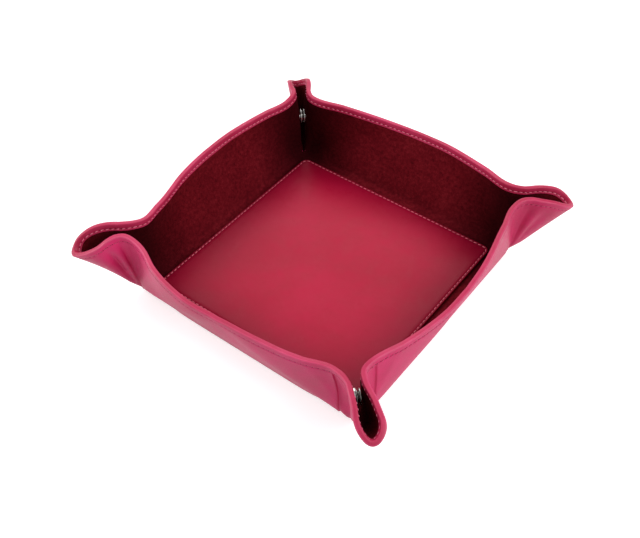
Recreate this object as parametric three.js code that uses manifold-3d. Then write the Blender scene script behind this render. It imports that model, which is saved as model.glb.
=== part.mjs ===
// Snap-corner dice tray: one square of lined leather, stiffened with boards, that lies
// flat until four press studs pinch its corners into ears and draw the walls up.
// Millimetres and degrees, +Z up. The tray stands on its base, centred on the origin,
// with the front wall toward -Y and the right wall toward +X.

import * as THREE from 'three';
import { mergeVertices } from 'three/addons/utils/BufferGeometryUtils.js';
import Module from 'manifold-3d';

const wasm = await Module();
wasm.setup();

// ---- Driving dimensions ----------------------------------------------------------

// The flat sheet
const FLOOR_HALF = 84; // half the floor square, fold line to fold line
const WALL_HEIGHT = 50; // from a fold line to the rim, along the sheet
const SHEET_CORNER = 38; // radius that rounds the sheet's four corners
const SHEET_THICK = 3.2; // leather, board and lining together
const LEATHER_THICK = 1.0;
const LINING_THICK = 0.6;
const PLY_GAP = 0.3; // left between plies
const HEM_WIDTH = 5; // leather turned over the rim onto the lining
const BOARD_END = 6; // from the end of a wall board to the ear crease
const BOARD_INSET = 2; // from a wall board to the fold line and to the rim
const FOLD_GAP = 0.3; // from a wall to the fold line under it

// The floor panel
const PANEL_HALF = 77;
const PANEL_THICK = 1.3;
const PANEL_CORNER = 5; // radius of its corners
const BASE_CORNER = 4; // radius of the base plies' corners

// How the raised walls stand
const LEAN = { front: 25, back: 21, left: 18, right: 21 }; // outward at mid wall
const END_LEAN = 4; // outward close to the ears
const STRAIGHT_UNTIL = 140; // rise, over the floor's diagonal, where a wall starts to curl
const CURL_UNTIL = 80; // rise where it has its end lean
const NECK_START = 106; // rise where the pinch into the neck begins
const NECK_RISE = 82.5; // rise of the pinched neck
const TIP_RISE = 44.5; // rise of the ear's outer edge
const EAR_SWELL = 0.121; // how far an ear loop opens, in radians seen from the corner
const EAR_SKEW = 1.15; // above 0 the loop is fuller toward its tip
const EAR_START = 86; // sheet angle, from the fold line, where a wall meets its ear
const EAR_INNER = 5; // from the corner of the floor to the ear plies
const CORNER_GAP = 2.5; // from the corner of the floor to the wall plies

// The press studs
const SNAP_REACH = 30.3; // from the corner of the floor to a snap's centre
const SNAP_STACK = 3.76; // room between the two linings at the snap's centre
const SNAP_RADIUS = 5;
const SNAP_BEVEL = 0.42; // fall of a part's back toward its rim, for the slanting lining
const SNAP_BACK_FLAT = 3.3; // radius of the level part of its back
const SOCKET_CROSSING = 0.35; // the socket's mouth stands this far past the ear's plane
const SOCKET_LIP = 1.1; // level width round the socket's mouth
const SOCKET_SLOPE = 0.3; // width of the slope outside that lip
const STUD_RADIUS = 1.7;
const STUD_WAIST = 0.25; // how much slimmer the stud is at its foot
const STUD_NOSE = 0.4; // bevel at its tip
const STUD_DEPTH = 1.25; // of the stud inside its socket
const SHANK_RADIUS = 1.4;
const CAP_RADIUS = 4.2;
const CAP_THICK = 0.6;
const CAP_SUNK = 1.22; // from the lining's face to the cap disc
const SNAP_CLEAR = 0.3; // round and between snap parts

// Room for the folds to open and close
const JOINT_GAP = 0.2; // from a ply's edge to an ear crease
const CREASE_MITRE = 0.36; // edge setback per mm of depth toward the lining
const TIP_GAP = 0.3; // from a ply's edge to the ear's outer fold
const TIP_MITRE = 0.72; // edge setback per mm of depth toward the outside
const OUTER_GATHER = 7.5; // the outside is full this many half thicknesses from the corner
const INNER_GATHER = 21.25; // and the inside this many

// Mesh fineness
const CURVE_STEPS = 600;
const BOARD_STATIONS = 6; // on each half of a wall, as far as its board reaches
const END_STATIONS = 2; // from there to the ear crease
const EAR_STATIONS = 9;
const ROUND_SEGMENTS = 14;

// ---- Values worked out from them --------------------------------------------------

const HALF_THICK = SHEET_THICK / 2;
const LEATHER_INNER = -HALF_THICK + LEATHER_THICK;
const LINING_OUTER = HALF_THICK - LINING_THICK;
const OUTER_TAPER = OUTER_GATHER * HALF_THICK;
const INNER_TAPER = INNER_GATHER * HALF_THICK;
const PINCH = Math.asin((HALF_THICK + SNAP_STACK / 2) / SNAP_REACH);
const EAR_END = 135; // sheet angle of the fold down the middle of a corner

const { degToRad, lerp, radToDeg, smoothstep } = THREE.MathUtils;

// Each wall has a direction along its fold line and one outward across it.
const WALLS = {
  front: { along: new THREE.Vector3(1, 0, 0), out: new THREE.Vector3(0, -1, 0) },
  back: { along: new THREE.Vector3(1, 0, 0), out: new THREE.Vector3(0, 1, 0) },
  left: { along: new THREE.Vector3(0, 1, 0), out: new THREE.Vector3(-1, 0, 0) },
  right: { along: new THREE.Vector3(0, 1, 0), out: new THREE.Vector3(1, 0, 0) },
};

// ---- The sheet round one corner ---------------------------------------------------
// Raised, the sheet is a cone whose point is the corner of the floor. Its rays are
// given by two angles: spread, across the upright plane through the floor's diagonal,
// and rise, over the outward diagonal in that plane. A ray's components are
// (across, outward, up).

function ray(spread, rise) {
  return new THREE.Vector3(
    Math.sin(spread),
    Math.cos(spread) * Math.cos(rise),
    Math.cos(spread) * Math.sin(rise),
  );
}

// A wall: flat with its lean at mid wall, curled upright near its end, then drawn into
// the neck.
function wallRay(fraction, lean) {
  const rise = degToRad(lerp(180, NECK_RISE, fraction));
  const curl = smoothstep(radToDeg(rise), CURL_UNTIL, STRAIGHT_UNTIL);
  const tilt = degToRad(lerp(END_LEAN, lean, curl));
  const flat = Math.atan(Math.SQRT2 * Math.tan(tilt) * Math.sin(rise) - Math.cos(rise));
  const free = smoothstep(radToDeg(rise), NECK_RISE, NECK_START);
  return ray(lerp(PINCH, flat, free), rise);
}

// Half an ear: a teardrop loop from the neck to the fold at its tip.
function earRay(fraction) {
  const turn = Math.PI * fraction;
  const travel = (1 - Math.cos(turn)) / 2;
  const swell = EAR_SWELL * Math.sin(turn) * Math.sin(turn / 2) ** EAR_SKEW;
  const closing = PINCH * (1 - smoothstep(travel, 0, 1));
  return ray(swell + closing, degToRad(lerp(NECK_RISE, TIP_RISE, travel)));
}

// The cone as a list of rays with the angle that each has on the flat sheet, measured
// from the fold line, and its normal toward the lined side.
function sheetCone(lean) {
  const rays = [];
  for (let i = 0; i < CURVE_STEPS; i++) {
    rays.push(wallRay(i / CURVE_STEPS, lean));
  }
  for (let i = 0; i <= CURVE_STEPS; i++) {
    rays.push(earRay(i / CURVE_STEPS));
  }
  const arc = [0];
  for (let i = 1; i < rays.length; i++) {
    arc.push(arc[i - 1] + radToDeg(rays[i].distanceTo(rays[i - 1])));
  }
  const full = arc[arc.length - 1];
  const earScale = (EAR_END - EAR_START) / (full - EAR_START);
  return rays.map((direction, i) => {
    const before = rays[Math.max(i - 1, 0)];
    const after = rays[Math.min(i + 1, rays.length - 1)];
    const normal = direction.clone().cross(after.clone().sub(before)).normalize();
    const inEar = Math.max(arc[i] - EAR_START, 0);
    return { angle: arc[i] - inEar + inEar * earScale, direction, normal };
  });
}

function coneAt(cone, angle) {
  let low = 0;
  let high = cone.length - 1;
  while (high - low > 1) {
    const middle = (low + high) >> 1;
    if (cone[middle].angle > angle) {
      high = middle;
    } else {
      low = middle;
    }
  }
  const part = (angle - cone[low].angle) / (cone[high].angle - cone[low].angle);
  return {
    direction: cone[low].direction.clone().lerp(cone[high].direction, part).normalize(),
    normal: cone[low].normal.clone().lerp(cone[high].normal, part).normalize(),
  };
}

// The corner at one end (-1 or 1) of a wall: where it is and its two level axes.
function cornerFrame(wall, end) {
  const along = wall.along.clone().multiplyScalar(end);
  return {
    point: wall.out.clone().add(along).multiplyScalar(FLOOR_HALF).setZ(HALF_THICK),
    across: wall.out.clone().sub(along).normalize(),
    outward: wall.out.clone().add(along).normalize(),
  };
}

function toTray(frame, vector) {
  return frame.across
    .clone()
    .multiplyScalar(vector.x)
    .addScaledVector(frame.outward, vector.y)
    .setZ(vector.z);
}

// A point of the raised sheet: angle and reach place it on the flat sheet, and depth is
// measured from the middle of the sheet, positive toward the lined side. The plies thin
// out where they are gathered at the corner.
function sheetPoint(frame, cone, angle, reach, depth) {
  const { direction, normal } = coneAt(cone, angle);
  const taper = depth > 0 ? INNER_TAPER : OUTER_TAPER;
  const local = direction
    .clone()
    .multiplyScalar(reach)
    .addScaledVector(normal, depth * Math.min(1, reach / taper));
  return frame.point.clone().add(toTray(frame, local));
}

// The rim's distance from the corner: the wall's straight edge, then the round corner of
// the flat sheet.
function rimReach(angle) {
  const beyond = degToRad(angle - 90);
  const straight = WALL_HEIGHT / Math.cos(beyond);
  const centre = WALL_HEIGHT - SHEET_CORNER;
  if (WALL_HEIGHT * Math.tan(beyond) <= centre) {
    return straight;
  }
  const offset = centre * Math.SQRT2;
  const aside = degToRad(EAR_END - angle);
  const half = offset * Math.sin(aside);
  return offset * Math.cos(aside) + Math.sqrt(SHEET_CORNER ** 2 - half ** 2);
}

// ---- Ply sections ------------------------------------------------------------------
// A section is a closed outline across a ply. Each point has the part of the sheet's
// height it stands at, a drop below that, and its depth in the sheet.

// A wall curls both ways, so its plies need more levels than an ear's, which are straight
// along every ray but for their taper.
const BOARD_FOOT = (BOARD_INSET - FOLD_GAP) / (WALL_HEIGHT - FOLD_GAP);
const BOARD_LEVELS = [BOARD_FOOT, 0.28, 0.58, 0.87];
const WALL_LEVELS = [0, ...BOARD_LEVELS];
const EAR_LEVELS = [0, 0.27, 0.6];

function leatherSection(levels) {
  const outside = [...levels, 1].map((part) => ({ part, drop: 0, depth: -HALF_THICK }));
  const inside = [...levels].reverse().map((part) => ({ part, drop: 0, depth: LEATHER_INNER }));
  const hem = [
    { part: 1, drop: 0, depth: HALF_THICK },
    { part: 1, drop: HEM_WIDTH, depth: HALF_THICK },
    { part: 1, drop: HEM_WIDTH, depth: LINING_OUTER },
    { part: 1, drop: LEATHER_THICK, depth: LINING_OUTER },
    { part: 1, drop: LEATHER_THICK, depth: LEATHER_INNER },
  ];
  return [...outside, ...hem, ...inside];
}

// A ply of even thickness, up to a drop below the rim.
function plySection(levels, outer, inner, drop) {
  const column = [...levels.map((part) => ({ part, drop: 0 })), { part: 1, drop }];
  const outside = column.map((point) => ({ ...point, depth: outer }));
  const inside = [...column].reverse().map((point) => ({ ...point, depth: inner }));
  return [...outside, ...inside];
}

const WALL_LEATHER = leatherSection(WALL_LEVELS);
const WALL_BOARD = plySection(
  BOARD_LEVELS,
  LEATHER_INNER + PLY_GAP,
  LINING_OUTER - PLY_GAP,
  LEATHER_THICK + PLY_GAP,
);
const LINING_DROP = HEM_WIDTH + PLY_GAP;
const WALL_LINING = plySection(WALL_LEVELS, LINING_OUTER, HALF_THICK, LINING_DROP);
const EAR_LEATHER = leatherSection(EAR_LEVELS);
const EAR_LINING = plySection(EAR_LEVELS, LEATHER_INNER + PLY_GAP, HALF_THICK, LINING_DROP);

// ---- Solids from sections ------------------------------------------------------------

// Closed skin through a row of outlines that all have the same number of points. Every
// face is split from its low corner in one row to its high corner in the next, so that
// the facets of two plies that lie on each other run parallel.
function loft(outlines, flatOutline) {
  const count = flatOutline.length;
  const positions = outlines.flat().flatMap((point) => point.toArray());
  const index = [];
  for (let row = 0; row + 1 < outlines.length; row++) {
    for (let i = 0; i < count; i++) {
      const next = (i + 1) % count;
      const a = row * count + i;
      const b = row * count + next;
      if (flatOutline[next].x > flatOutline[i].x) {
        index.push(a, b, b + count, a, b + count, a + count);
      } else {
        index.push(a, b, a + count, b, b + count, a + count);
      }
    }
  }
  const last = (outlines.length - 1) * count;
  for (const [a, b, c] of THREE.ShapeUtils.triangulateShape(flatOutline, [])) {
    index.push(a, c, b, a + last, b + last, c + last);
  }
  return outwardFacing(positions, index);
}

function signedVolume(positions, index) {
  const corner = (i) => new THREE.Vector3().fromArray(positions, 3 * i);
  let sum = 0;
  for (let i = 0; i < index.length; i += 3) {
    sum += corner(index[i]).dot(corner(index[i + 1]).cross(corner(index[i + 2])));
  }
  return sum / 6;
}

function outwardFacing(positions, index) {
  if (signedVolume(positions, index) < 0) {
    for (let i = 0; i < index.length; i += 3) {
      [index[i + 1], index[i + 2]] = [index[i + 2], index[i + 1]];
    }
  }
  const geometry = new THREE.BufferGeometry();
  geometry.setAttribute('position', new THREE.Float32BufferAttribute(positions, 3));
  geometry.setIndex(index);
  geometry.computeVertexNormals();
  return geometry;
}

// Section points laid out flat, as height and depth, to triangulate a ply's ends.
function flatten(section, foot) {
  return section.map(
    ({ part, drop, depth }) => new THREE.Vector2(lerp(foot, WALL_HEIGHT, part) - drop, depth),
  );
}

// Stations across a wall. Those up to the end of its board are shares of the board's half
// width, closer together toward the curled ends; the rest close in on the ear crease.
// `short` is how far a station's full width stops before the crease.
function wallStations(withEnds) {
  const middle = radToDeg(Math.atan(WALL_HEIGHT / FLOOR_HALF));
  const crease = WALL_HEIGHT / Math.tan(degToRad(EAR_START));
  const widest = FLOOR_HALF - crease - BOARD_END;
  const last = radToDeg(Math.atan(WALL_HEIGHT / (crease + BOARD_END)));
  const right = [];
  for (let i = 1; i <= BOARD_STATIONS; i++) {
    const angle = degToRad(lerp(middle, last, i / BOARD_STATIONS));
    const share = (FLOOR_HALF - WALL_HEIGHT / Math.tan(angle)) / widest;
    right.push({ share, short: BOARD_END });
  }
  for (let i = 1; withEnds && i <= END_STATIONS; i++) {
    right.push({ share: 1, short: BOARD_END * (1 - i / END_STATIONS) });
  }
  const left = [...right].reverse().map((station) => ({ ...station, share: -station.share }));
  return [...left, { share: 0, short: BOARD_END }, ...right];
}

// Half the width of a wall ply at a height and depth on the sheet. It ends at the ear
// crease, set back so that the crease can close toward the lining.
function wallReach(height, depth) {
  const crease = Math.max(height / Math.tan(degToRad(EAR_START)), CORNER_GAP);
  return FLOOR_HALF - crease - JOINT_GAP - Math.max(depth, 0) * CREASE_MITRE;
}

function wallPly(name, section, withEnds) {
  const wall = WALLS[name];
  const cone = sheetCone(LEAN[name]);
  const frames = { '-1': cornerFrame(wall, -1), 1: cornerFrame(wall, 1) };
  const outlines = wallStations(withEnds).map((station) =>
    section.map(({ part, drop, depth }) => {
      const height = lerp(FOLD_GAP, WALL_HEIGHT, part) - drop;
      const aside = Math.abs(station.share) * (wallReach(height, depth) - station.short);
      const inward = FLOOR_HALF - aside;
      const angle = radToDeg(Math.atan2(height, inward));
      const frame = frames[station.share < 0 ? -1 : 1];
      return sheetPoint(frame, cone, angle, Math.hypot(height, inward), depth);
    }),
  );
  return loft(outlines, flatten(section, FOLD_GAP));
}

function earPly(name, end, section) {
  const cone = sheetCone(LEAN[name]);
  const frame = cornerFrame(WALLS[name], end);
  const outlines = [];
  for (let i = 0; i <= EAR_STATIONS; i++) {
    const nominal = lerp(EAR_START, EAR_END, i / EAR_STATIONS);
    outlines.push(
      section.map(({ part, drop, depth }) => {
        const reach = lerp(EAR_INNER, rimReach(nominal), part) - drop;
        const setback = JOINT_GAP + Math.max(depth, 0) * CREASE_MITRE;
        const first = EAR_START + radToDeg(setback / reach);
        const tipSetback = TIP_GAP + Math.max(-depth, 0) * TIP_MITRE;
        const last = EAR_END - radToDeg(tipSetback / reach);
        return sheetPoint(frame, cone, lerp(first, last, i / EAR_STATIONS), reach, depth);
      }),
    );
  }
  return loft(outlines, flatten(section, EAR_INNER));
}

// ---- Solid cutting ---------------------------------------------------------------------

function toSolid(geometry) {
  const bare = geometry.clone();
  bare.deleteAttribute('normal');
  bare.deleteAttribute('uv');
  const merged = mergeVertices(bare);
  return new wasm.Manifold(
    new wasm.Mesh({
      numProp: 3,
      vertProperties: new Float32Array(merged.attributes.position.array),
      triVerts: new Uint32Array(merged.index.array),
    }),
  );
}

function fromSolid(solid) {
  const mesh = solid.getMesh();
  const geometry = new THREE.BufferGeometry();
  geometry.setAttribute('position', new THREE.BufferAttribute(mesh.vertProperties, 3));
  geometry.setIndex(new THREE.BufferAttribute(mesh.triVerts, 1));
  geometry.computeVertexNormals();
  return geometry;
}

function cut(geometry, cutters) {
  return fromSolid(cutters.reduce((solid, tool) => solid.subtract(toSolid(tool)), toSolid(geometry)));
}

// ---- Press studs ------------------------------------------------------------------------
// Snap parts are turned about +Y, which points from the plane between the two ear halves
// into the half that carries the part. Heights are measured from that plane.

const LINING_FACE = SNAP_STACK / 2;
const BACK_HEIGHT = LINING_FACE - SNAP_CLEAR; // back of a visible part, at its centre
const BACK_EDGE = BACK_HEIGHT - SNAP_BEVEL;
const STUD_FRONT = SOCKET_CROSSING + SNAP_CLEAR; // front of the stud's flange
const CAP_FRONT = LINING_FACE + CAP_SUNK; // cap disc, between lining and leather

function turned(points) {
  const profile = points.map(([radius, height]) => new THREE.Vector2(radius, height));
  return new THREE.LatheGeometry(profile, ROUND_SEGMENTS);
}

function socketShape() {
  const bore = STUD_RADIUS + SNAP_CLEAR;
  const floor = STUD_DEPTH - SOCKET_CROSSING + SNAP_CLEAR;
  const lip = bore + SOCKET_LIP;
  return turned([
    [0, floor],
    [bore, floor],
    [bore, -SOCKET_CROSSING],
    [lip, -SOCKET_CROSSING],
    [lip + SOCKET_SLOPE, 0],
    [SNAP_RADIUS - SOCKET_SLOPE, SOCKET_SLOPE],
    [SNAP_RADIUS, 2 * SOCKET_SLOPE],
    [SNAP_RADIUS, BACK_EDGE],
    [SNAP_BACK_FLAT, BACK_HEIGHT],
    [0, BACK_HEIGHT],
  ]);
}

function studShape() {
  const tip = SOCKET_CROSSING - STUD_DEPTH;
  return turned([
    [0, tip],
    [STUD_RADIUS - STUD_NOSE, tip],
    [STUD_RADIUS, tip + STUD_NOSE],
    [STUD_RADIUS - STUD_WAIST, STUD_FRONT],
    [SNAP_RADIUS, STUD_FRONT],
    [SNAP_RADIUS, BACK_EDGE],
    [SNAP_BACK_FLAT, BACK_HEIGHT],
    [0, BACK_HEIGHT],
  ]);
}

// The fixing behind either part: a shank through the lining and a disc under the leather.
function fixingShape() {
  return turned([
    [0, BACK_HEIGHT + SNAP_CLEAR],
    [SHANK_RADIUS, BACK_HEIGHT + SNAP_CLEAR],
    [SHANK_RADIUS, CAP_FRONT],
    [CAP_RADIUS, CAP_FRONT],
    [CAP_RADIUS, CAP_FRONT + CAP_THICK],
    [0, CAP_FRONT + CAP_THICK],
  ]);
}

// Room for the fixing: a hole through the lining and a pocket between the plies.
function fixingRoom() {
  const hole = turned([
    [0, 0],
    [SHANK_RADIUS + SNAP_CLEAR, 0],
    [SHANK_RADIUS + SNAP_CLEAR, CAP_FRONT],
    [0, CAP_FRONT],
  ]);
  const pocket = turned([
    [0, CAP_FRONT - SNAP_CLEAR],
    [CAP_RADIUS + SNAP_CLEAR, CAP_FRONT - SNAP_CLEAR],
    [CAP_RADIUS + SNAP_CLEAR, CAP_FRONT + CAP_THICK + SNAP_CLEAR],
    [0, CAP_FRONT + CAP_THICK + SNAP_CLEAR],
  ]);
  return [hole, pocket];
}

// Where a snap part stands on the ear half at one end of a wall.
function snapPlace(name, end) {
  const frame = cornerFrame(WALLS[name], end);
  const centre = ray(0, degToRad(NECK_RISE)).multiplyScalar(SNAP_REACH);
  const place = new THREE.Object3D();
  place.position.copy(frame.point).add(toTray(frame, centre));
  place.quaternion.setFromUnitVectors(new THREE.Vector3(0, 1, 0), frame.across);
  place.updateMatrix();
  return place;
}

// ---- Materials -----------------------------------------------------------------------------

const FINISHES = {
  leather: { color: 0xb8315f, roughness: 0.55, metalness: 0 },
  panel: { color: 0xa02443, roughness: 0.5, metalness: 0 },
  lining: { color: 0x4a0b14, roughness: 0.95, metalness: 0 },
  board: { color: 0x9b8468, roughness: 0.9, metalness: 0 },
  nickel: { color: 0xc9c7c2, roughness: 0.25, metalness: 1 },
};

function piece(name, finish, geometry) {
  const mesh = new THREE.Mesh(geometry, new THREE.MeshStandardMaterial(FINISHES[finish]));
  mesh.name = name;
  return mesh;
}

// ---- The base ---------------------------------------------------------------------------------

// A square plate with round corners, from one height in the sheet to another.
function plate(half, corner, bottom, top) {
  const shape = new THREE.Shape();
  const inner = half - corner;
  shape.absarc(inner, inner, corner, 0, Math.PI / 2);
  shape.absarc(-inner, inner, corner, Math.PI / 2, Math.PI);
  shape.absarc(-inner, -inner, corner, Math.PI, 1.5 * Math.PI);
  shape.absarc(inner, -inner, corner, 1.5 * Math.PI, 2 * Math.PI);
  shape.closePath();
  const geometry = new THREE.ExtrudeGeometry(shape, {
    depth: top - bottom,
    bevelEnabled: false,
    curveSegments: 6,
  });
  return geometry.translate(0, 0, bottom);
}

function base() {
  const boardBottom = LEATHER_THICK + PLY_GAP;
  const liningBottom = SHEET_THICK - LINING_THICK;
  const wallFace = FLOOR_HALF - HALF_THICK; // inner face of a raised wall
  const liningHalf = wallFace - FOLD_GAP;
  const panelBottom = SHEET_THICK + PLY_GAP;
  const boardHalf = liningHalf - BOARD_INSET;
  return [
    piece('base_leather', 'leather', plate(FLOOR_HALF, BASE_CORNER, 0, LEATHER_THICK)),
    piece('base_board', 'board', plate(boardHalf, BASE_CORNER, boardBottom, liningBottom - PLY_GAP)),
    piece('base_lining', 'lining', plate(liningHalf, BASE_CORNER, liningBottom, SHEET_THICK)),
    piece(
      'floor_panel',
      'panel',
      plate(PANEL_HALF, PANEL_CORNER, panelBottom, panelBottom + PANEL_THICK),
    ),
  ];
}

// ---- Walls, ears and snaps ------------------------------------------------------------------------

function wallPieces(name) {
  return [
    piece(`wall_leather_${name}`, 'leather', wallPly(name, WALL_LEATHER, true)),
    piece(`wall_board_${name}`, 'board', wallPly(name, WALL_BOARD, false)),
    piece(`wall_lining_${name}`, 'lining', wallPly(name, WALL_LINING, true)),
  ];
}

function cornerName(name, end) {
  if (name === 'front' || name === 'back') {
    return `${name}_${end > 0 ? 'right' : 'left'}`;
  }
  return `${end > 0 ? 'back' : 'front'}_${name}`;
}

// Front and back walls carry the studs, left and right walls the sockets.
function earPieces(name, end) {
  const corner = cornerName(name, end);
  const half = `${corner}_${name[0]}`;
  const place = snapPlace(name, end);
  const room = fixingRoom().map((tool) => tool.applyMatrix4(place.matrix));
  const withStud = name === 'front' || name === 'back';
  const snapParts = withStud
    ? [
        piece(`snap_stud_${corner}`, 'nickel', studShape()),
        piece(`snap_post_${corner}`, 'nickel', fixingShape()),
      ]
    : [
        piece(`snap_socket_${corner}`, 'nickel', socketShape()),
        piece(`snap_cap_${corner}`, 'nickel', fixingShape()),
      ];
  for (const part of snapParts) {
    part.position.copy(place.position);
    part.quaternion.copy(place.quaternion);
  }
  return [
    piece(`ear_leather_${half}`, 'leather', cut(earPly(name, end, EAR_LEATHER), room)),
    piece(`ear_lining_${half}`, 'lining', cut(earPly(name, end, EAR_LINING), room)),
    ...snapParts,
  ];
}

const tray = new THREE.Group();
tray.add(...base());
for (const name of Object.keys(WALLS)) {
  tray.add(...wallPieces(name));
  tray.add(...earPieces(name, -1));
  tray.add(...earPieces(name, 1));
}

export default tray;
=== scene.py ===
"""Folding dice tray: a lined leather sheet whose corners are snapped into looped ears."""

import math

import bpy
import numpy as np
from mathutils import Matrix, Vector


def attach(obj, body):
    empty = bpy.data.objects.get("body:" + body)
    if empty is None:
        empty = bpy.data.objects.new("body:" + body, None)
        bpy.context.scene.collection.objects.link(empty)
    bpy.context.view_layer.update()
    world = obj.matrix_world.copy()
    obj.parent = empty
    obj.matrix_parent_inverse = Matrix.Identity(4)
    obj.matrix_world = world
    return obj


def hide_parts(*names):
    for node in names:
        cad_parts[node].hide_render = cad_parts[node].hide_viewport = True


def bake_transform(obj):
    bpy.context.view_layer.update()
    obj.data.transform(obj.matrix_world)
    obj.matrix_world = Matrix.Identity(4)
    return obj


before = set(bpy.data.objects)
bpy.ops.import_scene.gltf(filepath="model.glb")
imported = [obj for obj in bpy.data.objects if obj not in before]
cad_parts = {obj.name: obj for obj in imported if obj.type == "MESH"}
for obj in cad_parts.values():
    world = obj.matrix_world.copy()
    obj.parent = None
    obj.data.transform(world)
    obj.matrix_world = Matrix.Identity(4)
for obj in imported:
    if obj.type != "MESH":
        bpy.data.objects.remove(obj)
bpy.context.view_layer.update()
scene = bpy.context.scene

MM = 0.001
ACROSS, BACK, UP = np.eye(3)
join = np.concatenate

# ---- Sizes of the sheet, in millimetres and degrees, as the CAD model has them ----

FLOOR_HALF = 84.0
WALL_HEIGHT = 50.0
SHEET_CORNER = 38.0
HALF_THICK = 1.6
HEM_WIDTH = 5.0
PANEL_HALF = 77.0
PANEL_CORNER = 5.0
PANEL_BOTTOM = 3.5
PANEL_TOP = 4.8
BASE_LINING = (3.2, 2.6)  # top and bottom

LEAN = {"front": 25.0, "back": 21.0, "left": 18.0, "right": 21.0}
END_LEAN = 4.0
STRAIGHT_UNTIL = 140.0
CURL_UNTIL = 80.0
NECK_START = 106.0
NECK_RISE = 82.5
TIP_RISE = 44.5
EAR_SWELL = 0.121
EAR_SKEW = 1.15
EAR_START = 86.0
EAR_END = 135.0
OUTER_TAPER = 12.0
INNER_TAPER = 34.0

SNAP_REACH = 30.3
SNAP_STACK = 3.76
PINCH = math.asin((HALF_THICK + SNAP_STACK / 2) / SNAP_REACH)

CURVE_STEPS = 900

# ---- Sizes of what is modelled here only ----

LEATHER_SHARE = 0.375  # depth of the leather's hidden face, as a share of its outer one
RIM_ZONE = 8.0  # depth below the rim that holds the hem and the stitching
OUTER_STITCH = 4.0  # stitch lines below the rim, outside and on the hem
INNER_STITCH = 3.5
PANEL_STITCH = 1.4  # stitch line in from the panel's edge
STITCH_PITCH = 3.3
STITCH_LENGTH = 2.6
THREAD_RADIUS = 0.32
GROOVE_DEPTH = 0.3
GROOVE_WIDTH = 0.5
RIM_ROUND = 1.3  # height over which the rim turns over
CREASE_AT = 75.0  # embossed line at the end of each wall board
UNDER_STRIP = 6.0  # underside that belongs to the wall's skin, inside the fold line
FLOOR_STRIP = 4.0  # floor lining that belongs to the wall's lining
CORNER_CLEAR = 0.3  # skins stop this far from the corner of the floor
CORNER_LINING = 0.5  # and linings this far
FLAP = {"front_left": 5.0}  # how far an ear's sheet runs on inside its other half
FLAP_PLAIN = 1.6
FLAP_SUNK = 0.72  # share of its thickness that the sheet keeps there
FLAP_GROWN = 30.0  # distance from the corner at which a flap has its full width
FOOT_LIFT = 1.7  # rise of the fold under a wall near the corners
FOOT_RUN = 16.0  # and how far from the corner it is greatest
BOARD_END = 74.4
BOARD_SPAN = (2.6, 48.0)
BOARD_FACES = (-0.5, 0.75)
FACE_ROWS = 30  # rows of the outer face below the rim zone
RIM_BANDS = (FACE_ROWS + 17, FACE_ROWS + 23)  # rows where the lighter edge band, partly burnished and partly a painted highlight, and the hem begin
RIM_CURVE = 0.55  # power of the curve over the rim: below 1 it is flatter than a circle
HEM_LIP = 0.3  # round of the hem's cut edge
HEM_DEPTH = 0.9  # depth of the hem's hidden side
LINING_DEPTHS = (HALF_THICK - 0.02, HALF_THICK - 0.55)
LINING_TOP = HEM_WIDTH - 0.5  # drop below the rim, just under the hem
LINING_TUCK = 0.35  # how much the lining sinks there
FILLET_START = 3.2  # the lining's fillet starts this far inside the fold line
FILLET_RISE = 2.4  # and ends this far up the wall
CREASE_TOP = (43.0, 46.5)  # heights over which a crease fades out

# ---- Numbers and shapes ----


def smooth(value, low, high):
    """3t^2 - 2t^3 of the share t that value has come from low to high, kept to 0..1."""
    t = np.clip((value - low) / (high - low), 0.0, 1.0)
    return t * t * (3 - 2 * t)


def between(a, b, share):
    """a at share 0, b at share 1, straight between."""
    return a + (b - a) * share


def unit(vectors):
    """Each vector over its own length."""
    return vectors / np.linalg.norm(vectors, axis=-1, keepdims=True)


def hump(value, centre, width):
    """exp(-((value - centre) / width)^2)."""
    return np.exp(-(((value - centre) / width) ** 2))


def as_arrays(*values):
    """The values as arrays of floats of one shape."""
    return np.broadcast_arrays(*(np.asarray(value, float) for value in values))


def table_at(value, places, table):
    """The columns of a table at a value, straight between its rows."""
    return np.stack([np.interp(value, places, column) for column in table.T], -1)


# Each wall: the way along its fold line, and outward from the tray.
WALLS = {
    "front": (ACROSS, -BACK), "back": (ACROSS, BACK),
    "left": (BACK, -ACROSS), "right": (BACK, ACROSS),
}

STUD_WALLS = ("front", "back")  # their halves of the ears carry the studs


def corner_name(wall, end):
    """The corner at one end (-1 or 1) of a wall."""
    if wall in STUD_WALLS:
        return f"{wall}_{'right' if end > 0 else 'left'}"
    return f"{'back' if end > 0 else 'front'}_{wall}"


def half_name(wall, end):
    """Half an ear: its corner and the first letter of the wall it grows from."""
    return f"{corner_name(wall, end)}_{wall[0]}"


def corner_axes(wall, end):
    """The ways across a corner's ear and outward from the tray, and the corner itself."""
    along, out = WALLS[wall]
    corner = FLOOR_HALF * (out + end * along) + HALF_THICK * UP
    return (out - end * along) / math.sqrt(2), (out + end * along) / math.sqrt(2), corner


def level_point(wall, x, inside, z):
    """The point at x along a wall's fold line, that far inside it, at height z."""
    along, out = WALLS[wall]
    x, inside, z = (value[..., None] for value in as_arrays(x, inside, z))
    return x * along + (FLOOR_HALF - inside) * out + z * UP


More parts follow.
